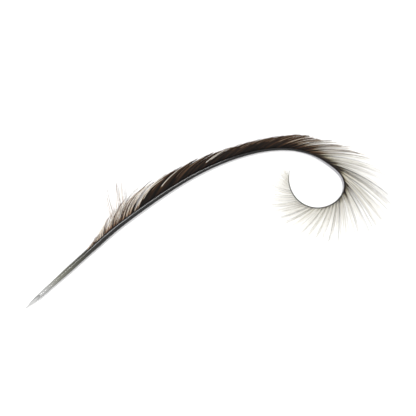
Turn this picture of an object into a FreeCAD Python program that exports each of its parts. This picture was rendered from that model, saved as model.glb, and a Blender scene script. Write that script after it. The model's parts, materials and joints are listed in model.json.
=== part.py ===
import FreeCAD, Part
import math
import os

V = FreeCAD.Vector

# A goose-quill pen lying flat on a table: a hollow cut barrel, the shaft that runs on from it and
# curls round at its end, and two rows of barbs on the shaft's back, gathered into locks.
# Millimetres and degrees. +X to the right, +Y up the table, +Z away from it.
# "Distance" is always counted along the shaft from the tip of the nib.

# The shaft's line
shaft_length = 311.0
nib_x = -118.52
nib_y = -56.83
nib_heading = 42.03
rest_height = 2.25
line_step = 0.5
turn_rate = (  # distance, clockwise turn in degrees per centimetre
    (0.0, 0.0), (62.0, 0.0), (70.0, 3.03), (80.0, 2.33), (90.0, 0.93), (110.0, 1.1), (130.0, 2.43),
    (150.0, 3.43), (170.0, 3.92), (190.0, 6.22), (205.0, 10.49), (215.0, 13.5), (235.0, 6.5),
    (243.0, 39.0), (250.0, 54.5), (262.0, 31.0), (shaft_length, 29.5),
)

# The barrel, cut to a nib
barrel_length = 62.0
barrel_end_radius = 2.2
grip_radius = 2.0
grip_from = 38.0
grip_to = 52.0
lower_tube_radius = 1.5
lower_tube_to = 14.0
lower_swell = ((22.0, 0.08), (30.0, 0.27))  # distance, how much wider than the lower tube
barrel_wall = 0.42
bore_end = 59.5
scoop_length = 13.4
scoop_turn = 8.0
scoop_line = ((12.0, 0.6), (9.4, -0.2), (5.6, -0.6), (-1.0, -0.9))  # distance, height on the axis
shoulder_start = 11.0
point_half_width = 0.18
shoulder_line = ((8.0, 1.22), (5.6, 0.94), (3.6, 0.66), (1.6, 0.38), (0.0, point_half_width))
slit_width = 0.08
slit_length = 7.0

# Dried pulp caps left in the barrel
cap_distances = (32.0, 37.5, 43.0, 48.5, 54.0)
cap_depth = 2.2
cap_wall = 0.14
cap_gap = 0.06

# The shaft beyond the barrel and its core
half_thickness = (  # distance, radius
    (barrel_length, barrel_end_radius), (66.0, rest_height), (85.0, 2.0), (110.0, 1.8), (150.0, 1.45),
    (190.0, 1.05), (215.0, 0.85), (235.0, 0.65), (250.0, 0.42), (270.0, 0.36), (300.0, 0.27),
    (shaft_length, 0.12),
)
flatness = 0.05
groove_depth = 0.16
groove_width = 20.0
groove_end = 195.0
core_start = 62.4
core_end = 256.0
core_radius = (
    (core_start, 1.6), (85.0, 1.42), (150.0, 0.95), (190.0, 0.62), (205.0, 0.6), (225.0, 0.7),
    (243.0, 0.78), (250.0, 0.58), (core_end, 0.16),
)
core_offset = (  # distance, how far the core lies towards the shaft's hollow side
    (core_start, 0.0), (190.0, 0.0), (205.0, 0.22), (225.0, 0.5), (243.0, 0.78), (250.0, 0.62),
    (core_end, 0.38),
)
section_points = 24

# The barbs. Both rows follow these laws, and a lock is the stretch between two of their barbs.
barb_length = (
    (62.0, 3.0), (72.0, 7.0), (80.0, 19.0), (86.0, 22.0), (89.0, 31.0), (97.0, 31.0), (110.0, 28.0),
    (140.0, 25.0), (198.0, 24.0), (203.0, 25.0), (208.0, 29.0), (216.0, 35.0), (221.0, 41.0),
    (228.0, 46.0), (234.0, 48.5), (240.0, 45.0), (245.0, 40.0), (250.0, 35.0), (256.0, 29.5),
    (262.0, 25.0), (268.0, 20.5), (286.0, 18.0), (293.0, 16.0), (300.0, 12.0), (307.0, 6.0),
    (shaft_length, 3.0),
)
lean = (  # angle between the shaft and the line from a barb's root to its tip
    (62.0, 24.0), (72.0, 33.0), (79.0, 50.0), (86.0, 49.0), (89.0, 13.0), (93.0, 12.0), (110.0, 13.0),
    (130.0, 11.5), (150.0, 8.5), (170.0, 10.5), (190.0, 15.0), (203.0, 17.0), (221.0, 19.0),
    (225.0, 18.5), (228.0, 14.0), (234.0, 3.0), (240.0, 3.0), (245.0, 12.0), (248.0, 20.0),
    (251.0, 29.0), (256.0, 37.0), (267.0, 39.0), (276.0, 38.0), (286.0, 43.0), (300.0, 50.0),
    (shaft_length, 40.0),
)
bend_back = (  # how far a barb turns back towards the shaft by its tip
    (62.0, 20.0), (86.0, 10.0), (89.0, 46.0), (93.0, 40.0), (103.0, 32.0), (190.0, 28.0),
    (210.0, 24.0), (235.0, 24.0), (245.0, 14.0), (260.0, 6.0), (shaft_length, 4.0),
)
near_rise = (
    (62.0, 2.0), (90.0, 5.0), (200.0, 6.0), (240.0, 8.5), (270.0, 8.0), (shaft_length, 4.0),
)
row_angle = 50.0
root_gap = 0.25
lock_gap = 0.4
lock_half_thickness = 0.3
lock_shares = (0.0, 0.25, 0.5, 0.75, 1.0)
lock_barbs = 4
near_locks = (
    ("near_first_down", 62.5, 71.0), ("near_downy_tuft", 71.0, 79.0), ("standing_wisps", 79.0, 86.5),
    ("loose_lock", 88.5, 97.0), ("near_vane_lock_1", 97.0, 110.0), ("near_vane_lock_2", 110.0, 123.0),
    ("near_vane_lock_3", 123.0, 137.0), ("near_vane_lock_4", 137.0, 151.0),
    ("near_vane_lock_5", 151.0, 166.0), ("near_vane_lock_6", 166.0, 181.0),
    ("near_vane_lock_7", 181.0, 196.0), ("near_crook_lock_1", 196.0, 209.0),
    ("near_crook_lock_2", 209.0, 221.0), ("near_fan_spray_1", 221.0, 231.0),
    ("near_fan_spray_2", 231.0, 240.0), ("near_fan_spray_3", 240.0, 248.0),
    ("near_fan_spray_4", 248.0, 256.0), ("near_fan_spray_5", 256.0, 268.0),
    ("near_fan_spray_6", 268.0, 282.0), ("near_fan_spray_7", 282.0, 296.0),
    ("near_fan_spray_8", 296.0, 310.0),
)
far_locks = (
    ("far_downy_tuft", 66.0, 80.0), ("far_vane_lock_1", 89.0, 106.0), ("far_vane_lock_2", 106.0, 125.0),
    ("far_vane_lock_3", 125.0, 144.0), ("far_vane_lock_4", 144.0, 164.0),
    ("far_vane_lock_5", 164.0, 184.0), ("far_vane_lock_6", 184.0, 203.0),
    ("far_crook_lock", 203.0, 221.0), ("far_fan_spray_1", 221.0, 236.0),
    ("far_fan_spray_2", 236.0, 248.0), ("far_fan_spray_3", 248.0, 260.0),
    ("far_fan_spray_4", 260.0, 276.0), ("far_fan_spray_5", 276.0, 293.0),
    ("far_fan_spray_6", 293.0, 310.0),
)


def law(table, distance):
    """Value of a (distance, value) table, in straight runs between its entries."""
    if distance <= table[0][0]:
        return table[0][1]
    for (start, low), (end, high) in zip(table, table[1:]):
        if distance <= end:
            return low + (high - low) * (distance - start) / (end - start)
    return table[-1][1]


def shaft_line():
    """Point and heading at every step along the shaft's centreline."""
    x, y, heading = nib_x, nib_y, math.radians(nib_heading)
    line = [(x, y, heading)]
    for step in range(round(shaft_length / line_step)):
        middle = (step + 0.5) * line_step
        turn = math.radians(law(turn_rate, middle) / 10.0) * line_step
        x += line_step * math.cos(heading - turn / 2)
        y += line_step * math.sin(heading - turn / 2)
        heading -= turn
        line.append((x, y, heading))
    return line


line = shaft_line()
up = V(0, 0, 1)


def place(distance):
    """Centre of the shaft at a distance, its forward direction, and the direction of its back."""
    index = min(int(distance / line_step), len(line) - 2)
    share = distance / line_step - index
    (x0, y0, h0), (x1, y1, h1) = line[index], line[index + 1]
    heading = h0 + (h1 - h0) * share
    centre = V(x0 + (x1 - x0) * share, y0 + (y1 - y0) * share, rest_height)
    return centre, V(math.cos(heading), math.sin(heading), 0), V(-math.sin(heading), math.cos(heading), 0)


def spaced(start, end, count):
    return [start + (end - start) * step / (count - 1) for step in range(count)]


def turned(profile):
    """Solid of revolution of a closed profile about the barrel's axis."""
    return Part.Face(Part.Wire(profile)).revolve(V(0, 0, 0), V(1, 0, 0), 360)


def smooth_edge(*points):
    curve = Part.BSplineCurve()
    curve.interpolate([V(*point) for point in points])
    return curve.toShape()


def straight_edges(*points):
    corners = [V(*point) for point in points]
    return [Part.makeLine(a, b) for a, b in zip(corners, corners[1:])]


def barrel_profile(inset, start, end):
    """Outline, set in by the wall thickness, of the barrel from one distance to another."""
    low = lower_tube_radius - inset
    grip = grip_radius - inset
    last = barrel_end_radius - inset
    swell = smooth_edge((lower_tube_to, low, 0), *[(at, low + wider, 0) for at, wider in lower_swell],
                        (grip_from, grip, 0))
    head = smooth_edge((grip_to, grip, 0), (57.0, grip + 0.08, 0), (end, last, 0))
    return (straight_edges((start, 0, 0), (start, low, 0), (lower_tube_to, low, 0)) + [swell]
            + straight_edges((grip_from, grip, 0), (grip_to, grip, 0)) + [head]
            + straight_edges((end, last, 0), (end, 0, 0), (start, 0, 0)))


def scoop_tool():
    """Everything above the scoop's line, which drops steeply and then runs out flat to the point."""
    reach = 2 * grip_radius
    top = (scoop_length, 0, lower_tube_radius + 0.2)
    foot = (scoop_line[-1][0], 0, scoop_line[-1][1])
    drop = smooth_edge(top, *[(at, 0, height) for at, height in scoop_line])
    sides = straight_edges(foot, (foot[0], 0, reach), (scoop_length, 0, reach), top)
    face = Part.Face(Part.Wire([drop] + sides))
    face.translate(V(0, -reach, 0))
    return face.extrude(V(0, 2 * reach, 0))


def shoulder_tool(side):
    """What is pared from one side of the nib: a long even taper that ends in a small flat point."""
    reach = 2 * grip_radius
    start = (shoulder_start, side * (lower_tube_radius + 0.05), 0)
    point = (0.0, side * point_half_width, 0)
    taper = smooth_edge(start, *[(at, side * half, 0) for at, half in shoulder_line])
    sides = straight_edges(point, (-1.0, side * point_half_width, 0), (-1.0, side * reach, 0),
                           (shoulder_start, side * reach, 0), start)
    face = Part.Face(Part.Wire([taper] + sides))
    face.translate(V(0, 0, -reach))
    return face.extrude(V(0, 0, 2 * reach))


def laid_down(shape):
    """Turns a shape built along +X on to the shaft's line."""
    shape.rotate(V(0, 0, 0), V(1, 0, 0), scoop_turn)
    shape.rotate(V(0, 0, 0), V(0, 0, 1), nib_heading)
    shape.translate(V(nib_x, nib_y, rest_height))
    return shape


def quill_barrel():
    barrel = turned(barrel_profile(0.0, 0.0, barrel_length))
    barrel = barrel.cut(turned(barrel_profile(barrel_wall, -1.0, bore_end)))
    barrel = barrel.cut(scoop_tool())
    barrel = barrel.cut(shoulder_tool(1)).cut(shoulder_tool(-1))
    slit = Part.makeBox(slit_length + 1.0, slit_width, 2 * grip_radius,
                        V(-1.0, -slit_width / 2, -2 * grip_radius))
    return laid_down(barrel.cut(slit))


def bore_radius(distance):
    if distance > grip_to:
        return grip_radius - barrel_wall
    swell = [(at, lower_tube_radius + wider) for at, wider in lower_swell] + [(grip_from, grip_radius)]
    return law(swell, distance) - barrel_wall


def pulp_caps():
    """Thin cups one inside the next, their hollow sides towards the nib."""
    caps = []
    for distance in cap_distances:
        rim = bore_radius(distance) - cap_gap
        outer = smooth_edge((distance, rim, 0), (distance + 0.8 * cap_depth, 0.72 * rim, 0),
                            (distance + cap_depth, 0, 0))
        inner = smooth_edge((distance, rim - cap_wall, 0),
                            (distance + 0.8 * cap_depth - cap_wall, 0.72 * rim - cap_wall, 0),
                            (distance + cap_depth - cap_wall, 0, 0))
        rim_edge = straight_edges((distance, rim - cap_wall, 0), (distance, rim, 0))
        axis_edge = straight_edges((distance + cap_depth, 0, 0), (distance + cap_depth - cap_wall, 0, 0))
        caps.append(laid_down(turned([outer] + axis_edge + [inner] + rim_edge)))
    return Part.makeCompound(caps)


def closed_curve(points):
    curve = Part.BSplineCurve()
    curve.interpolate(Points=points, PeriodicFlag=True)
    return Part.Wire(curve.toShape())


def ring(distance, radius, offset, shape):
    """Closed outline across the shaft. shape(angle) scales the radius, with 0 at the shaft's back."""
    centre, forward, back = place(distance)
    points = []
    for step in range(section_points):
        angle = 2 * math.pi * step / section_points
        reach = radius * shape(angle)
        points.append(centre + back * (reach * math.cos(angle) - offset) + up * (reach * math.sin(angle)))
    return closed_curve(points)


def shaft_outline(distance):
    """Rounded square with a groove along the hollow side that fades out before the crook."""
    grown = min(1.0, (distance - barrel_length) / 20.0)
    square = flatness * grown
    depth = groove_depth * grown * max(0.0, min(1.0, (groove_end - distance) / 40.0))

    def shape(angle):
        from_hollow = math.degrees(abs(angle - math.pi))
        groove = depth * math.exp(-(from_hollow / groove_width) ** 2)
        return 1.0 + square * (1 - math.cos(4 * angle)) / 2 - groove
    return shape


def round_outline(angle):
    return 1.0


def shaft_stations(start, end):
    """Distances for cross-sections: every centimetre, and every 4 mm round the crook."""
    plain = [distance for distance in range(70, 205, 10) if start < distance < end]
    close = [distance for distance in range(205, 311, 4) if start < distance < end]
    return [start] + plain + close + [end]


def shaft_core():
    rings = [ring(distance, law(core_radius, distance), law(core_offset, distance), round_outline)
             for distance in shaft_stations(core_start, core_end)]
    return Part.makeLoft(rings, True, False)


def shaft_shell(core):
    rings = [ring(distance, law(half_thickness, distance), 0.0, shaft_outline(distance))
             for distance in shaft_stations(barrel_length, shaft_length)]
    return Part.makeLoft(rings, True, False).cut(core)


def barb_point(distance, share, side):
    """Point on the barb rooted at a distance. A barb is an arc seen from above; the near row
    (side 1) rises towards its tip and the far row (side -1) sinks to lie on the table."""
    centre, forward, back = place(distance)
    radius = law(half_thickness, distance)
    whole_bend = math.radians(law(bend_back, distance))
    angle = math.radians(law(lean, distance)) + whole_bend / 2
    bend = whole_bend * share
    chord = law(barb_length, distance) * share * math.sin(bend / 2 + 1e-9) / (bend / 2 + 1e-9)
    point = centre + back * ((radius + root_gap) * math.cos(math.radians(row_angle)))
    point += (forward * math.cos(angle - bend / 2) + back * math.sin(angle - bend / 2)) * chord
    height = (radius + root_gap + lock_half_thickness) * math.sin(math.radians(row_angle))
    if side > 0:
        point.z += height + law(near_rise, distance) * share
    else:
        root_height = max(lock_half_thickness, rest_height - height)
        point.z = lock_half_thickness + (root_height - lock_half_thickness) * (1 - share) ** 2
    return point


def barb_lock(start, end, side):
    """Thin blade through the barbs of a stretch of shaft."""
    grid = [[barb_point(distance, share, side) for share in lock_shares]
            for distance in spaced(start + lock_gap, end - lock_gap, lock_barbs)]
    surface = Part.BSplineSurface()
    surface.interpolate(grid)
    sheet = surface.toShape()
    sheet.translate(V(0, 0, -lock_half_thickness))
    blade = sheet.extrude(V(0, 0, 2 * lock_half_thickness))
    return blade if blade.Volume > 0 else blade.reversed()


def save(name, shape):
    shape.exportStep(f"parts/{name}.step")
    box = shape.BoundBox
    print(f"{name}: {shape.Volume:.2f} mm3, valid {shape.isValid()}, solids {len(shape.Solids)}, "
          f"x {box.XMin:.2f} {box.XMax:.2f}, y {box.YMin:.2f} {box.YMax:.2f}, "
          f"z {box.ZMin:.2f} {box.ZMax:.2f}")


os.makedirs("parts", exist_ok=True)
core = shaft_core()
shapes = {
    "quill_barrel": quill_barrel(),
    "pulp_caps": pulp_caps(),
    "shaft_shell": shaft_shell(core),
    "shaft_core": core,
}
for name, start, end in near_locks:
    shapes[name] = barb_lock(start, end, 1)
for name, start, end in far_locks:
    shapes[name] = barb_lock(start, end, -1)
for name, shape in shapes.items():
    save(name, shape)
whole = Part.makeCompound(list(shapes.values())).BoundBox
print(f"{len(shapes)} nodes, whole: x {whole.XMin:.2f} {whole.XMax:.2f}, "
      f"y {whole.YMin:.2f} {whole.YMax:.2f}, z {whole.ZMin:.2f} {whole.ZMax:.2f}")
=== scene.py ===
import json
import math
import bpy
import numpy as np
from mathutils import Matrix, Vector


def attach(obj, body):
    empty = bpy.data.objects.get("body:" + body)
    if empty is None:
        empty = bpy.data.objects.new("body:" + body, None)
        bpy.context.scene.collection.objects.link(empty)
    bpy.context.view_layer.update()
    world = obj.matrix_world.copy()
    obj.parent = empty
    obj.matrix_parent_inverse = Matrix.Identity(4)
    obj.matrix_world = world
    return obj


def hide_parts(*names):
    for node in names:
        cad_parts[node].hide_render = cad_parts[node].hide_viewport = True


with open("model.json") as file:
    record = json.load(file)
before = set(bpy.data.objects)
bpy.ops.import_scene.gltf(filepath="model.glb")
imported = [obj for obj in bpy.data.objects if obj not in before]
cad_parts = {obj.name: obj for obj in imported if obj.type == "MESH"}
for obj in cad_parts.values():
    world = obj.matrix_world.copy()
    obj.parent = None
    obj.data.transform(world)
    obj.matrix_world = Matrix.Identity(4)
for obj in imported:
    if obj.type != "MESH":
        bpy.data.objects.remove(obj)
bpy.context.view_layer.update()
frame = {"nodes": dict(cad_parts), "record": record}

mm = 0.001
mmPerCm = 10.0
upward = np.array([0.0, 0.0, 1.0])
grip = next(mount for mount in frame["record"]["mounts"] if mount["name"] == "grip")
restHeight = grip["pos_m"][2] / mm

# The shaft's line. Distances run along it from the tip of the nib, in mm, and each knot is
# (distance, value). turnRate is how fast it bends clockwise, in degrees per cm. Its place and first
# heading come from the grip mount, whose axis points back to the nib.
shaftLine = {
    "length": 311.0,
    "step": 0.25,
    "heading": math.degrees(math.atan2(-grip["axis"][1], -grip["axis"][0])),
    "gripDistance": 45.0,
    "turnRate": ((0, 0), (62, 0), (70, 3.03), (80, 2.33), (90, 0.93), (110, 1.1), (130, 2.43),
                 (150, 3.43), (170, 3.92), (190, 6.22), (205, 10.49), (215, 13.5), (235, 6.5),
                 (243, 39.0), (250, 54.5), (262, 31.0), (311, 29.5)),
    "radius": ((62, 2.2), (66, 2.25), (85, 2.0), (110, 1.8), (150, 1.45), (190, 1.05), (215, 0.85),
               (235, 0.65), (250, 0.42), (270, 0.36), (300, 0.27), (311, 0.12)),
}


# Straight lines between knots of (distance, value), level beyond the first and the last
def readBetween(knots, distance):
    at, values = zip(*knots)
    return np.interp(distance, at, values)


# Heading is the first heading less the turn rate summed along the shaft; x and y are the sums of
# its cosine and sine, moved so that the grip lies at its mount.
def traceShaft(line):
    distance = np.arange(0, line["length"] + line["step"], line["step"])
    rate = np.radians(readBetween(line["turnRate"], distance)) / mmPerCm
    turned = np.concatenate([[0], np.cumsum((rate[1:] + rate[:-1]) / 2 * line["step"])])
    heading = math.radians(line["heading"]) - turned
    middle = (heading[1:] + heading[:-1]) / 2
    x = np.concatenate([[0], np.cumsum(np.cos(middle) * line["step"])])
    y = np.concatenate([[0], np.cumsum(np.sin(middle) * line["step"])])
    x += grip["pos_m"][0] / mm - np.interp(line["gripDistance"], distance, x)
    y += grip["pos_m"][1] / mm - np.interp(line["gripDistance"], distance, y)
    return distance, x, y, heading


tracedShaft = traceShaft(shaftLine)
print("shaft line traced")


# At an array of distances: the shaft's centre; forward, which is the heading's cosine and sine; and
# the direction of the shaft's back, which is forward turned a quarter turn to the left.
def placeOnShaft(distance):
    x, y, heading = (np.interp(distance, tracedShaft[0], values) for values in tracedShaft[1:])
    level = np.zeros_like(x)
    centre = np.stack([x, y, level + restHeight], -1)
    forward = np.stack([np.cos(heading), np.sin(heading), level], -1)
    back = np.stack([-np.sin(heading), np.cos(heading), level], -1)
    return centre, forward, back


# sRGB hex to linear: v / 12.92 up to 0.04045, and ((v + 0.055) / 1.055) ^ 2.4 above that
def linear(hexColour):
    values = [int(hexColour[i:i + 2], 16) / 255 for i in (1, 3, 5)]
    return [v / 12.92 if v <= 0.04045 else ((v + 0.055) / 1.055) ** 2.4 for v in values] + [1.0]


# Adds a node: settings go on the node or its inputs, links name (input, node, output)
def addNode(tree, kind, settings={}, inputs={}, links=()):
    node = tree.nodes.new(kind)
    for name, value in settings.items():
        setattr(node, name, value)
    for name, value in inputs.items():
        node.inputs[name].default_value = value
    for target, source, output in links:
        tree.links.new(source.outputs[output], node.inputs[target])
    return node


def newMaterial(name):
    material = bpy.data.materials.new(name)
    material.use_nodes = True
    material.node_tree.nodes.clear()
    return material, material.node_tree


# Gives a colour ramp its stops of (position, hex colour), in place of the two that it starts with
def fillRamp(node, stops):
    elements = node.color_ramp.elements
    while len(elements) > 1:
        elements.remove(elements[-1])
    elements[0].position, elements[0].color = stops[0][0], linear(stops[0][1])
    for position, colour in stops[1:]:
        elements.new(position).color = linear(colour)


barrelFinish = {
    "tones": ((0.0, "#bdbdbc"), (0.14, "#b3b3b2"), (0.20, "#a1a1a0"), (0.29, "#888883"),
              (0.37, "#6d6d63"), (0.49, "#515147"), (0.59, "#3a3a31"), (0.69, "#22211c"),
              (0.80, "#12110e"), (1.0, "#090807")),
    "toneReach": 80.0,  # mm from the nib that the tones are spread over
    "tip": "#77756e",
    "tipReach": 13.0,  # mm of the curl's end over which the shaft pales to the tip's colour
    # painted shade: how much of its tone a steep flank keeps, and the slopes over which that shade fades
    # out
    "paintedFlankShadeKeeps": 0.22,  # how much of its tone a steep flank keeps
    "paintedShadeSlope": (0.3, 0.82),  # how far a normal points up on a steep flank and on the plain back
    "streakSize": 1.111,  # mm; real scrape marks are about 0.1 mm, drawn as coarse as it takes to show
    "streakDetail": 4.0,
    "streakTone": 0.05,  # how far the streaks shift the tones, as a share of their reach
    "bumpStrength": 0.05,
    "bumpDepth": 0.05,  # mm
    "roughness": 0.09,
    "ior": 1.52,
    "specular": 0.38,
}


# Cleared quill keratin, scraped smooth. The eye sees a clear horn tube: pale where it is thin at the nib,
# dark further up, with painted shade along its flanks and a thin sharp line of gloss on its back.
def quillKeratin(finish):
    material, tree = newMaterial("clearedQuillKeratin")
    where = addNode(tree, "ShaderNodeTexCoord")
    # Distance from the nib along the barrel, 0 to 1 over toneReach, picks the tone
    nib = placeOnShaft(np.array(0.0))[0] * mm
    heading = math.radians(shaftLine["heading"])
    axis = Vector((math.cos(heading), math.sin(heading), 0)) / (finish["toneReach"] * mm)
    along = addNode(tree, "ShaderNodeVectorMath", {"operation": "DOT_PRODUCT"}, {1: axis},
                    [(0, where, "Object")])
    fromNib = addNode(tree, "ShaderNodeMath", {"operation": "SUBTRACT"},
                      {1: float(np.dot(nib, np.array(axis)))}, [(0, along, "Value")])
    streaks = addNode(tree, "ShaderNodeTexNoise", {},
                      {"Scale": 1 / (finish["streakSize"] * mm), "Detail": finish["streakDetail"]},
                      [("Vector", where, "Object")])
    shift = addNode(tree, "ShaderNodeMath", {"operation": "MULTIPLY_ADD"},
                    {1: finish["streakTone"], 2: -finish["streakTone"] / 2}, [(0, streaks, "Fac")])
    shifted = addNode(tree, "ShaderNodeMath", {"operation": "ADD"}, {},
                      [(0, fromNib, "Value"), (1, shift, "Value")])
    tone = addNode(tree, "ShaderNodeValToRGB", {}, {}, [("Fac", shifted, "Value")])
    fillRamp(tone, finish["tones"])
    # The curl's hair-thin end pales; inputs 6 and 7 are a Mix node's two colours
    end = Vector(placeOnShaft(np.array(shaftLine["length"]))[0] * mm)
    toEnd = addNode(tree, "ShaderNodeVectorMath", {"operation": "DISTANCE"}, {1: end},
                    [(0, where, "Object")])
    nearEnd = addNode(tree, "ShaderNodeMapRange", {}, {1: finish["tipReach"] * mm, 2: 0.0},
                      [("Value", toEnd, "Value")])
    paled = addNode(tree, "ShaderNodeMix", {"data_type": "RGBA"}, {7: linear(finish["tip"])},
                    [(6, tone, "Color"), (0, nearEnd, "Result")])
    # Painted shade: flanks are darkened by how little their normal points up, standing in for the
    # dark edges that a clear tube shows when seen edgeways
    surface = addNode(tree, "ShaderNodeNewGeometry")
    slope = addNode(tree, "ShaderNodeSeparateXYZ", {}, {}, [("Vector", surface, "Normal")])
    upness = addNode(tree, "ShaderNodeMath", {"operation": "ABSOLUTE"}, {}, [(0, slope, "Z")])
    steep, plain = finish["paintedShadeSlope"]
    keptUnderPaintedShade = addNode(tree, "ShaderNodeMapRange", {}, {1: steep, 2: plain, 3: finish["paintedFlankShadeKeeps"], 4: 1.0},
                   [("Value", upness, "Value")])
    paintedShadeColour = addNode(tree, "ShaderNodeVectorMath", {"operation": "SCALE"}, {},
                     [(0, paled, 2), ("Scale", keptUnderPaintedShade, "Result")])
    bump = addNode(tree, "ShaderNodeBump", {},
                   {"Strength": finish["bumpStrength"], "Distance": finish["bumpDepth"] * mm},
                   [("Height", streaks, "Fac")])
    shader = addNode(tree, "ShaderNodeBsdfPrincipled", {},
                     {"Roughness": finish["roughness"], "IOR": finish["ior"],
                      "Specular IOR Level": finish["specular"]},
                     [("Base Color", paintedShadeColour, "Vector"), ("Normal", bump, "Normal")])
    addNode(tree, "ShaderNodeOutputMaterial", {}, {}, [("Surface", shader, "BSDF")])
    return material


pithFinish = {
    "tones": ((0.25, "#77767a"), (0.6, "#a5a4a8")),
    "pitShadeSize": 0.714,  # mm; real cells are about 0.03 mm, drawn as coarse as it takes to show
    "pitShadeDetail": 3.0,
    "roughness": 0.75,
}


# Dried pith, a closed foam left bare by the knife. The eye sees a chalky pale band, greyer in patches
# where the shade of its pits is painted in, with no gloss to speak of.
def pithFoam(finish):
    material, tree = newMaterial("driedPithFoam")
    where = addNode(tree, "ShaderNodeTexCoord")
    # Painted shade: the noise greys the pale foam in patches that stand for the shade in its pits
    paintedPitShade = addNode(tree, "ShaderNodeTexNoise", {},
                   {"Scale": 1 / (finish["pitShadeSize"] * mm), "Detail": finish["pitShadeDetail"]},
                   [("Vector", where, "Object")])
    tone = addNode(tree, "ShaderNodeValToRGB", {}, {}, [("Fac", paintedPitShade, "Fac")])
    fillRamp(tone, finish["tones"])
    shader = addNode(tree, "ShaderNodeBsdfPrincipled", {}, {"Roughness": finish["roughness"]},
                     [("Base Color", tone, "Color")])
    addNode(tree, "ShaderNodeOutputMaterial", {}, {}, [("Surface", shader, "BSDF")])
    return material


barbFinishes = {
    # Barbs zipped into a flat vane: near black to brown with the sheen of dull silk, white where they
    # part, partly pale barbs and partly painted light for the bright gaps between them
    "vane": {
        "name": "zippedBarbKeratin",
        "tones": ((0.0, "#070504"), (0.2, "#1b130c"), (0.45, "#3d291b"), (0.65, "#6b513c"),
                  (0.82, "#b3a28b"), (1.0, "#f8f4ec")),
        "roughness": 0.5, "ior": 1.55, "specular": 0.12,
    },
    # Stiff barbs of the curl, each on its own: dark at the root, then grey and cream, with a little
    # more gloss
    "fan": {
        "name": "looseFanBarbKeratin",
        "tones": ((0.0, "#0d0806"), (0.25, "#41342a"), (0.5, "#908974"), (0.75, "#c1bbaa"),
                  (1.0, "#e2dfd5")),
        "roughness": 0.55, "ior": 1.55, "specular": 0.2,
    },
    # Soft unzipped barbs by the quill: warm grey-brown and cream, nearly without gloss
    "down": {
        "name": "downyBarb",
        "tones": ((0.0, "#170c07"), (0.3, "#492e20"), (0.55, "#8a6d58"), (0.8, "#c7b39c"),
                  (1.0, "#eee5d7")),
        "roughness": 0.7, "ior": 1.55, "specular": 0.15,
    },
}


# Barb keratin, as it grew: a barb's own tone, 0 dark to 1 pale, picks its colour from the tones
def barbKeratin(finish):
    material, tree = newMaterial(finish["name"])
    own = addNode(tree, "ShaderNodeAttribute", {"attribute_name": "tone"})
    tone = addNode(tree, "ShaderNodeValToRGB", {}, {}, [("Fac", own, "Fac")])
    fillRamp(tone, finish["tones"])
    shader = addNode(tree, "ShaderNodeBsdfPrincipled", {},
                     {"Roughness": finish["roughness"], "IOR": finish["ior"],
                      "Specular IOR Level": finish["specular"]},
                     [("Base Color", tone, "Color")])
    addNode(tree, "ShaderNodeOutputMaterial", {}, {}, [("Surface", shader, "BSDF")])
    return material


materials = {"barrel": quillKeratin(barrelFinish), "pith": pithFoam(pithFinish)}
materials.update({key: barbKeratin(finish) for key, finish in barbFinishes.items()})
print("materials made")

# The laws that all barbs follow, as knots of (distance along the shaft, value): their length in mm;
# lean, the angle in degrees between the shaft and the line from root to tip; bend, how many degrees
# they curve back by the tip; rise, how many mm the near row climbs; and their tone.
barbLaws = {
    "length": ((54, 1), (58, 3), (66, 9), (75, 17), (84, 28), (93, 27.5), (98, 30), (110, 28),
               (140, 25), (198, 24), (203, 25), (208, 29), (216, 35), (221, 41), (228, 46), (234, 48.5),
               (240, 45), (245, 40), (250, 36), (256, 32), (262, 28), (268, 24), (286, 20.5),
               (293, 17.5), (300, 14), (307, 7), (311, 2)),
    "lean": ((60, 26), (70, 32), (75, 31), (84, 21), (92, 19), (96, 14.5), (110, 13), (130, 11.5),
             (150, 8.5), (170, 10.5), (190, 14), (203, 15), (214, 16.5), (221, 18.5), (225, 18),
             (228, 14), (234, 3), (240, 3), (245, 12), (248, 20), (251, 29), (256, 37), (260, 40),
             (267, 39), (276, 37), (286, 43), (293, 48), (300, 46), (311, 26)),
    "bend": ((60, 25), (75, 40), (84, 54), (93, 40), (103, 32), (190, 28), (210, 24), (235, 24),
             (245, 14), (260, 12), (311, 12)),
    "rise": ((62, 2), (90, 5), (200, 6), (240, 8.5), (270, 8), (311, 4)),
    "tone": ((56, 0.6), (72, 0.55), (86, 0.6), (94, 0.52), (98, 0.24), (110, 0.19), (194, 0.2),
             (200, 0.4), (206, 0.52), (216, 0.6), (222, 0.6), (236, 0.62), (250, 0.7), (262, 0.85),
             (311, 1.0)),
    "rowAngle": 50.0,  # degrees that each row is rooted above or below the shaft's level middle
    "rootDepth": 0.9,  # share of the shaft's radius at which a barb is rooted
    "floorClear": 0.25,  # mm that the far row's tips keep above the table
    "lowest": 0.12,  # mm above the table that no barb's middle goes below
}


def barbLaw(name, distance):
    return readBetween(barbLaws[name], distance)


# Points on barbs: an arc seen from above whose chord is length * share * sin(b/2) / (b/2), b the
# bend so far, leaving the shaft at lean plus half the whole bend. The near row rises evenly, the
# far row settles on the table as (1 - share) squared.
def barbPoints(distance, share, side, stretch=1.0, turn=0.0, lift=0.0, curve=1.0):
    leastBend = 1e-9  # keeps sin(b/2) / (b/2) whole at the root
    at = distance[:, None] + 0 * share
    centre, forward, back = placeOnShaft(at)
    whole = np.radians(barbLaw("bend", at)) * curve
    bend = whole * share + leastBend
    chord = barbLaw("length", at) * stretch * share * np.sin(bend / 2) / (bend / 2)
    angle = (np.radians(barbLaw("lean", at) + turn) + whole / 2 - bend / 2)[..., None]
    rowAngle = math.radians(barbLaws["rowAngle"])
    rooted = readBetween(shaftLine["radius"], at) * barbLaws["rootDepth"]
    points = centre + back * (rooted * math.cos(rowAngle))[..., None]
    points += (forward * np.cos(angle) + back * np.sin(angle)) * chord[..., None]
    height = rooted * math.sin(rowAngle)
    if side > 0:
        points[..., 2] += height + (barbLaw("rise", at) + lift) * share
    else:
        clear = barbLaws["floorClear"]
        drop = restHeight - height - clear
        points[..., 2] = clear + drop * (1 - share) ** 2 + abs(lift) * share
    return points


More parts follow.
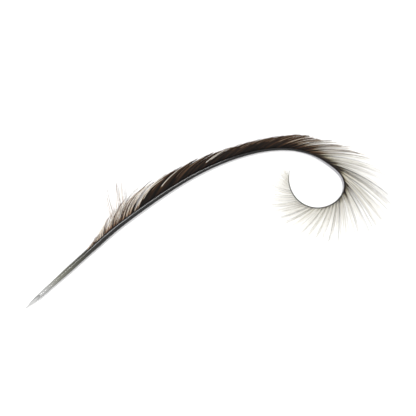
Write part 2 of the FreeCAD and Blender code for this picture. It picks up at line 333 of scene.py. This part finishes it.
# Four-sided tapered strands: every ring is the path's point plus or minus half the width across
# and half the thickness upwards; rings are joined by quads and both ends are closed.
def strandMesh(name, paths, widths, flatness, tones):
    count, rings = paths.shape[:2]
    tangent = np.gradient(paths, axis=1)
    tangent /= np.linalg.norm(tangent, axis=-1, keepdims=True)
    across = np.cross(upward, tangent)
    across /= np.linalg.norm(across, axis=-1, keepdims=True)
    normal = np.cross(tangent, across)
    half = (widths / 2)[..., None]
    corners = np.stack([across * half, normal * half * flatness, -across * half,
                        -normal * half * flatness], 2)
    verts = (paths[:, :, None] + corners).reshape(-1, 3) * mm
    sides = np.arange(4)
    ringStart = np.arange(count * rings).reshape(count, rings) * 4
    corner = ringStart[:, :-1, None] + sides
    nextCorner = ringStart[:, :-1, None] + (sides + 1) % 4
    walls = np.stack([corner, nextCorner, nextCorner + 4, corner + 4], -1).reshape(-1, 4)
    rootEnds = ringStart[:, 0, None] + sides[::-1]
    tipEnds = ringStart[:, -1, None] + sides
    faces = np.concatenate([walls, rootEnds, tipEnds])
    mesh = bpy.data.meshes.new(name)
    mesh.vertices.add(len(verts))
    mesh.vertices.foreach_set("co", verts.ravel())
    mesh.loops.add(faces.size)
    mesh.loops.foreach_set("vertex_index", faces.ravel())
    mesh.polygons.add(len(faces))
    mesh.polygons.foreach_set("loop_start", np.arange(len(faces)) * 4)
    mesh.polygons.foreach_set("use_smooth", np.ones(len(faces), bool))
    mesh.update(calc_edges=True)
    tone = mesh.attributes.new("tone", "FLOAT", "POINT")
    tone.data.foreach_set("value", np.repeat(tones.reshape(-1), 4).astype(np.float32))
    piece = bpy.data.objects.new(name, mesh)
    bpy.context.scene.collection.objects.link(piece)
    return piece


# What one kind of lock looks like. pitch is the mm of shaft to each barb, width and tip a barb's
# width in mm at its root and tip, foot how much wider it is where it leaves the shaft, and flat its
# thickness for its width. clump is the mm of shaft that gather into one clump and pull how far its
# barbs close up. stretch, turn, lift and wave are how much barbs differ, and clumpTone and ownTone
# how much their tones do. shade is how much darker a barb is at its root, fading over shadeReach mm,
# and paler how much it pales to its tip. dark and pale are the shares of barbs that stand out, and
# bold how much wider those are. rings is how many cross-sections a barb has. stand adds degrees to
# the lean, and bend scales how far barbs curve back.
lockStyles = {
    "vane": {"pitch": 0.2, "clump": 3.4, "pull": 0.5, "width": 0.26, "tip": 0.07, "foot": 0.0,
             "flat": 0.5, "stretch": 0.03, "turn": 0.6, "lift": 0.4, "wave": 0.06,
             "clumpTone": 0.12, "ownTone": 0.14, "dark": 0.1, "pale": 0.0, "bold": 1.2,
             "shade": 0.14, "shadeReach": 5.0, "paler": 0.3, "rings": 13,
             "material": "vane", "slot": "vane_barb"},
    "crook": {"pitch": 0.28, "clump": 2.0, "pull": 0.88, "width": 0.16, "tip": 0.05, "foot": 0.12,
              "flat": 0.6, "stretch": 0.14, "turn": 1.1, "lift": 0.6, "wave": 0.1,
              "clumpTone": 0.34, "ownTone": 0.06, "dark": 0.2, "pale": 0.14, "bold": 1.5,
              "shade": 0.6, "shadeReach": 8.0, "paler": 0.3, "rings": 14,
              "material": "vane", "slot": "vane_barb"},
    "fan": {"pitch": 0.36, "clump": 1.5, "pull": 0.62, "width": 0.11, "tip": 0.04, "foot": 0.24,
            "flat": 0.8, "stretch": 0.06, "turn": 1.2, "lift": 0.8, "wave": 0.08,
            "clumpTone": 0.34, "ownTone": 0.18, "dark": 0.13, "pale": 0.2, "bold": 1.8,
            "shade": 0.95, "shadeReach": 2.6, "paler": 0.1, "rings": 14,
            "material": "fan", "slot": "fan_barb"},
    "curl": {"pitch": 0.2, "clump": 1.2, "pull": 0.45, "width": 0.08, "tip": 0.04, "foot": 0.0,
             "flat": 0.8, "stretch": 0.08, "turn": 1.5, "lift": 0.6, "wave": 0.08,
             "clumpTone": 0.28, "ownTone": 0.16, "dark": 0.07, "pale": 0.1, "bold": 1.6,
             "shade": 0.35, "shadeReach": 2.0, "paler": 0.1, "rings": 10,
             "material": "fan", "slot": "fan_barb"},
    "loose": {"pitch": 0.28, "clump": 1.7, "pull": 0.9, "width": 0.16, "tip": 0.05, "foot": 0.06,
              "flat": 0.7, "stretch": 0.12, "turn": 1.6, "lift": 0.8, "wave": 0.2,
              "clumpTone": 0.55, "ownTone": 0.1, "dark": 0.3, "pale": 0.22, "bold": 1.9,
              "shade": 0.4, "shadeReach": 5.0, "paler": 0.1, "rings": 16,
              "material": "down", "slot": "loose_barb"},
    "down": {"pitch": 0.2, "clump": 1.1, "pull": 0.75, "width": 0.12, "tip": 0.04, "foot": 0.05,
             "flat": 0.9, "stretch": 0.2, "turn": 3.5, "lift": 0.8, "wave": 0.3,
             "clumpTone": 0.4, "ownTone": 0.12, "dark": 0.22, "pale": 0.16, "bold": 1.8,
             "shade": 0.5, "shadeReach": 4.0, "paler": 0.1, "rings": 16,
             "material": "down", "slot": "grey_down"},
    "backing": {"pitch": 0.8, "clump": 1.2, "pull": 0.6, "width": 0.12, "tip": 0.04, "foot": 0.05,
                "flat": 0.9, "stretch": 0.25, "turn": 4.0, "lift": 0.5, "wave": 0.3,
                "clumpTone": 0.3, "ownTone": 0.12, "dark": 0.1, "pale": 0.1, "bold": 1.4,
                "shade": 0.45, "shadeReach": 3.5, "paler": 0.1, "rings": 16,
                "material": "down", "slot": "grey_down"},
    "wisp": {"pitch": 0.45, "clump": 2.2, "pull": 0.6, "width": 0.15, "tip": 0.09, "foot": 0.0,
             "flat": 0.9, "stretch": 0.1, "turn": 7.0, "lift": 0.8, "wave": 0.4,
             "clumpTone": 0.1, "ownTone": 0.1, "dark": 0.0, "pale": 0.0, "bold": 1.3,
             "shade": 0.2, "shadeReach": 3.0, "paler": -0.2, "rings": 16,
             "stand": 40.0, "bend": 0.3, "material": "down", "slot": "grey_down"},
}
# The fan comes out of the dark crook with long dark roots and ends at the curl's tip with fewer,
# more even barbs; the first down is nearly as pale at its roots.
lockStyles["firstFan"] = dict(lockStyles["fan"], shadeReach=6.0)
lockStyles["curlTip"] = dict(lockStyles["curl"], pitch=0.27, shade=0.15, clumpTone=0.16)
lockStyles["firstDown"] = dict(lockStyles["down"], shade=0.15, dark=0.1)

# Each lock: the node it stands for, the mm along the shaft between which its barbs are rooted, its
# row (1 near, -1 far) and its style
locks = (
    ("near_first_down", 55.0, 71.0, 1, "firstDown"),
    ("near_downy_tuft", 71.0, 84.0, 1, "down"),
    ("standing_wisps", 78.0, 91.0, 1, "wisp"),
    ("loose_lock", 84.0, 97.0, 1, "loose"),
    ("near_vane_lock_1", 95.5, 110.0, 1, "vane"),
    ("near_vane_lock_2", 110.0, 123.0, 1, "vane"),
    ("near_vane_lock_3", 123.0, 137.0, 1, "vane"),
    ("near_vane_lock_4", 137.0, 151.0, 1, "vane"),
    ("near_vane_lock_5", 151.0, 166.0, 1, "vane"),
    ("near_vane_lock_6", 166.0, 181.0, 1, "vane"),
    ("near_vane_lock_7", 181.0, 196.0, 1, "vane"),
    ("near_crook_lock_1", 196.0, 209.0, 1, "crook"),
    ("near_crook_lock_2", 209.0, 221.0, 1, "crook"),
    ("near_fan_spray_1", 221.0, 231.0, 1, "firstFan"),
    ("near_fan_spray_2", 231.0, 240.0, 1, "firstFan"),
    ("near_fan_spray_3", 240.0, 248.0, 1, "fan"),
    ("near_fan_spray_4", 248.0, 256.0, 1, "fan"),
    ("near_fan_spray_5", 256.0, 268.0, 1, "curl"),
    ("near_fan_spray_6", 268.0, 282.0, 1, "curl"),
    ("near_fan_spray_7", 282.0, 296.0, 1, "curlTip"),
    ("near_fan_spray_8", 296.0, 308.5, 1, "curlTip"),
    ("far_downy_tuft", 64.0, 88.0, -1, "backing"),
    ("far_vane_lock_1", 94.5, 106.0, -1, "vane"),
    ("far_vane_lock_2", 106.0, 125.0, -1, "vane"),
    ("far_vane_lock_3", 125.0, 144.0, -1, "vane"),
    ("far_vane_lock_4", 144.0, 164.0, -1, "vane"),
    ("far_vane_lock_5", 164.0, 184.0, -1, "vane"),
    ("far_vane_lock_6", 184.0, 203.0, -1, "vane"),
    ("far_crook_lock", 203.0, 221.0, -1, "crook"),
    ("far_fan_spray_1", 221.0, 236.0, -1, "firstFan"),
    ("far_fan_spray_2", 236.0, 248.0, -1, "fan"),
    ("far_fan_spray_3", 248.0, 260.0, -1, "fan"),
    ("far_fan_spray_4", 260.0, 276.0, -1, "curl"),
    ("far_fan_spray_5", 276.0, 293.0, -1, "curlTip"),
    ("far_fan_spray_6", 293.0, 307.0, -1, "curlTip"),
)

# Where barbs of the near row have parted or cling together and show as one pale or dark line; a pale
# line is partly pale barbs and partly painted light for the bright gap between them:
# (distance along the shaft, from which share of their length, to which, tone)
partings = {
    "at": ((84.3, 0.0, 0.34, 0.0), (86.6, 0.3, 1.0, 0.1), (88.4, 0.35, 1.0, 1.0),
           (90.0, 0.25, 1.0, 0.1), (91.6, 0.3, 1.0, 1.0), (93.2, 0.2, 0.9, 0.1),
           (94.6, 0.2, 1.0, 1.0), (96.2, 0.1, 0.9, 1.0), (98.4, 0.2, 0.95, 1.0),
           (101.5, 0.4, 0.95, 0.7), (110.5, 0.28, 0.85, 1.0), (122.0, 0.3, 0.8, 0.7),
           (130.0, 0.66, 1.0, 0.35), (143.0, 0.28, 0.92, 1.0), (145.0, 0.34, 0.92, 1.0),
           (152.0, 0.6, 1.0, 0.6), (158.0, 0.45, 1.0, 0.7), (163.0, 0.42, 1.0, 0.8),
           (169.0, 0.5, 1.0, 0.7), (174.0, 0.42, 1.0, 0.8), (178.0, 0.5, 1.0, 0.65),
           (182.0, 0.42, 1.0, 0.8), (186.5, 0.5, 1.0, 0.7), (190.0, 0.4, 1.0, 0.8),
           (193.5, 0.45, 1.0, 0.75), (198.0, 0.35, 1.0, 0.8), (202.5, 0.35, 1.0, 0.85)),
    "width": 0.36,  # mm of shaft
    "raise": 0.5,  # mm that a parted barb stands above its neighbours
}

# How all kinds of lock vary. The pairs are ranges that are drawn from evenly.
variety = {
    "firstSeed": 100,
    "rootPlace": (0.2, 0.8),  # where in its own pitch a root lies
    "edgePlace": (-0.3, 0.3),  # how far the edge of a clump strays, in clumps
    "clumpStretch": (-1.0, 0.5),  # times the style's stretch
    "barbStretch": (-1.0, 0.3),  # times the style's stretch
    "clumpLift": (-1.0, 1.0),  # times the style's lift
    "clumpTone": (0.3, 1.3),  # times the style's clumpTone
    "barbTurn": 0.5,  # share of the style's turn by which barbs in a clump differ
    "barbLift": 0.3,  # share of the style's lift by which they do
    "rootKept": 0.25,  # how much of its distance from the clump's middle a gathered barb keeps
    "pullPower": 1.6,
    "waveTurns": (3.0, 7.0),  # radians of wave from root to tip
    "waveStart": (0.0, 6.3),  # radians
    "waveHeight": 0.5,  # how high the wave is for its width
    "taperPower": 1.3,
    "widthSpread": (0.8, 1.2),
    "darkTone": 0.3,  # what a dark barb's tone is multiplied by
    "paleTone": 0.95,
}


# Roots are evenly spaced but for their jitter, and so are the edges of clumps. Also gives each
# root's clump, and each clump's middle, the mean of its roots.
def spaceRoots(start, end, style, rng):
    count = int((end - start) / style["pitch"])
    root = start + (np.arange(count) + rng.uniform(*variety["rootPlace"], count)) * (end - start) / count
    clumps = max(1, round((end - start) / style["clump"]))
    stray = rng.uniform(*variety["edgePlace"], clumps - 1)
    edges = start + (np.arange(1, clumps) + stray) * (end - start) / clumps
    clump = np.searchsorted(edges, root)
    middle = np.array([root[clump == i].mean() if (clump == i).any() else start for i in range(clumps)])
    return root, clump, middle


# Each clump's turn, stretch, lift and tone, drawn about the style's own; tones alternate between
# darker and paler.
def drawClumps(clumps, style, rng):
    turn = style.get("stand", 0.0) + rng.normal(0, style["turn"], clumps)
    stretch = 1 + rng.uniform(*variety["clumpStretch"], clumps) * style["stretch"]
    lift = rng.uniform(*variety["clumpLift"], clumps) * style["lift"]
    paler = np.where(np.arange(clumps) % 2 == 0, 1, -1) * rng.uniform(*variety["clumpTone"], clumps)
    return {"turn": turn, "stretch": stretch, "lift": lift, "tone": style["clumpTone"] * paler}


# Each barb's own arc, drawn to its clump's arc by pull * share ^ pullPower, with a slow sine wave
# that grows evenly towards the tip.
def barbPaths(root, clump, middle, drawn, share, side, style, rng):
    column = (len(root), 1)
    shared = {name: drawn[name][clump][:, None] for name in ("stretch", "turn", "lift")}
    stretch = 1 + rng.uniform(*variety["barbStretch"], column) * style["stretch"]
    turn = rng.normal(0, style["turn"] * variety["barbTurn"], column)
    lift = rng.normal(0, style["lift"] * variety["barbLift"], column)
    curve = style.get("bend", 1.0)
    free = barbPoints(root, share, side, shared["stretch"] * stretch, shared["turn"] + turn,
                      shared["lift"] + lift, curve)
    gatheredRoot = middle[clump] + (root - middle[clump]) * variety["rootKept"]
    gathered = barbPoints(gatheredRoot, share, side, curve=curve, **shared)
    pull = (style["pull"] * share ** variety["pullPower"])[..., None]
    paths = free * (1 - pull) + gathered * pull
    phase = share * rng.uniform(*variety["waveTurns"], column) + rng.uniform(*variety["waveStart"], column)
    wave = np.sin(phase) * share * style["wave"]
    back = placeOnShaft(root)[2][:, None]
    paths += back * wave[..., None]
    paths[..., 2] += wave * variety["waveHeight"]
    paths[..., 2] = np.maximum(paths[..., 2], barbLaws["lowest"])
    return paths


# Widths and tones. The width goes from width to tip by share ^ taperPower, and nearRoot, 1 at the
# root, adds the foot. The tone is the law's, its clump's and its own, less shade * nearRoot, plus
# paler * share ^ 2. Barbs that stand out are bold times as wide.
def finishBarbs(root, clumpTone, nearRoot, share, style, rng):
    column = (len(root), 1)
    widths = style["width"] + (style["tip"] - style["width"]) * share ** variety["taperPower"]
    widths = widths + style["foot"] * nearRoot
    draw = rng.random(column)
    isDark = draw < style["dark"]
    isPale = draw > 1 - style["pale"]
    widths = widths * rng.uniform(*variety["widthSpread"], column)
    widths = widths * np.where(isDark | isPale, style["bold"], 1)
    tone = barbLaw("tone", root) + clumpTone + rng.normal(0, style["ownTone"], len(root))
    tone = np.where(isPale, variety["paleTone"], tone[:, None])
    tone = np.where(isDark, tone * variety["darkTone"], tone)
    return widths, tone - style["shade"] * nearRoot + style["paler"] * share ** 2


# Barbs near a parting take its tone, a pale one partly painted light, and rise between its two shares,
# by exp(-((root - place) / width) ^ 2)
def partBarbs(root, share, paths, tones):
    for place, fromShare, toShare, partedToneAndPaintedLight in partings["at"]:
        parted = np.exp(-((root[:, None] - place) / partings["width"]) ** 2)
        parted = parted * (share > fromShare) * (share < toShare)
        tones += (partedToneAndPaintedLight - tones) * parted
        paths[..., 2] += partings["raise"] * parted


# One lock's barbs as one piece. nearRoot is exp(-(mm from the root / shadeReach) ^ 2).
def makeLock(name, start, end, side, style, seed):
    rng = np.random.default_rng(seed)
    share = np.linspace(0, 1, style["rings"])[None, :]
    root, clump, middle = spaceRoots(start, end, style, rng)
    drawn = drawClumps(len(middle), style, rng)
    paths = barbPaths(root, clump, middle, drawn, share, side, style, rng)
    nearRoot = np.exp(-(barbLaw("length", root)[:, None] * share / style["shadeReach"]) ** 2)
    widths, tones = finishBarbs(root, drawn["tone"][clump], nearRoot, share, style, rng)
    if side > 0:
        partBarbs(root, share, paths, tones)
    piece = strandMesh(name, paths, widths, style["flat"], np.clip(tones, 0.0, 1.0))
    piece.data.materials.append(materials[style["material"]])
    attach(piece, "root")
    return piece


for index, (node, start, end, side, styleName) in enumerate(locks):
    words = node.split("_")
    pieceName = words[0] + "".join(word.capitalize() for word in words[1:]) + "Barbs"
    piece = makeLock(pieceName, start, end, side, lockStyles[styleName], variety["firstSeed"] + index)
    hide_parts(node)
print("barbs made")

# The nodes that keep their shape, and the finish of each
dressedNodes = {"quill_barrel": "barrel", "shaft_shell": "barrel", "shaft_core": "pith",
                "pulp_caps": "pith"}

for node, finishName in dressedNodes.items():
    piece = frame["nodes"][node]
    piece.data.materials.clear()
    piece.data.materials.append(materials[finishName])
print("barrel, shaft and pith dressed")

floorFinish = {"colour": "#fbfbfb", "roughness": 0.9, "specular": 0.0, "size": 3.0}  # size in metres


# A white paper sweep, matt: the eye sees an even white with only a faint soft shadow
def makeFloor(finish):
    reach = finish["size"] / 2
    corners = [(-reach, -reach, 0), (reach, -reach, 0), (reach, reach, 0), (-reach, reach, 0)]
    mesh = bpy.data.meshes.new("floor")
    mesh.from_pydata(corners, [], [(0, 1, 2, 3)])
    material, tree = newMaterial("whitePaperSweep")
    shader = addNode(tree, "ShaderNodeBsdfPrincipled", {},
                     {"Base Color": linear(finish["colour"]), "Roughness": finish["roughness"],
                      "Specular IOR Level": finish["specular"]})
    addNode(tree, "ShaderNodeOutputMaterial", {}, {}, [("Surface", shader, "BSDF")])
    mesh.materials.append(material)
    floor = bpy.data.objects.new("floor", mesh)
    bpy.context.scene.collection.objects.link(floor)


studio = {
    "worldColour": "#ffffff",
    "worldStrength": 1.1,
    "keyFrom": (-0.305, 0.31, 1.1),  # metres, as are the strip's length and width
    "keyLength": 0.52,
    "keyWidth": 0.1,
    "keyAlong": 35.0,  # degrees from x that the strip's long side is turned, to run along the shaft
    "keyPower": 6.3,  # watts
}


# An even white surround and one strip light, which faces the origin and is spun about its own line
# of sight until its long side runs along keyAlong.
def makeLights(light):
    world = bpy.data.worlds.new("studio")
    bpy.context.scene.world = world
    world.use_nodes = True
    background = world.node_tree.nodes["Background"]
    background.inputs["Color"].default_value = linear(light["worldColour"])
    background.inputs["Strength"].default_value = light["worldStrength"]
    data = bpy.data.lights.new("keyLight", "AREA")
    data.shape = "RECTANGLE"
    data.size = light["keyLength"]
    data.size_y = light["keyWidth"]
    data.energy = light["keyPower"]
    key = bpy.data.objects.new("keyLight", data)
    key.location = light["keyFrom"]
    facing = (-Vector(light["keyFrom"])).to_track_quat("-Z", "Y").to_matrix()
    along = math.radians(light["keyAlong"])
    longSide = Vector((math.cos(along), math.sin(along), 0))
    spin = math.atan2(longSide.dot(facing.col[1]), longSide.dot(facing.col[0]))
    key.rotation_euler = (facing @ Matrix.Rotation(spin, 3, "Z")).to_euler()
    bpy.context.scene.collection.objects.link(key)


cameraView = {
    "over": (-0.165, 8.435),  # mm; the point that the camera stands straight above
    "height": 1.0,  # metres
    "frameWidth": 0.2704,  # metres of table across the frame
    "sensor": 36.0,  # mm
}


# The lens is sensor * height / frameWidth, so that the frame takes in just that width of table
def makeCamera(view):
    data = bpy.data.cameras.new("camera")
    data.sensor_width = view["sensor"]
    data.lens = view["sensor"] * view["height"] / view["frameWidth"]
    camera = bpy.data.objects.new("camera", data)
    camera.location = (view["over"][0] * mm, view["over"][1] * mm, view["height"])
    bpy.context.scene.collection.objects.link(camera)
    bpy.context.scene.camera = camera


makeFloor(floorFinish)
makeLights(studio)
makeCamera(cameraView)
bpy.context.scene.view_settings.view_transform = "Standard"
print("stage set")
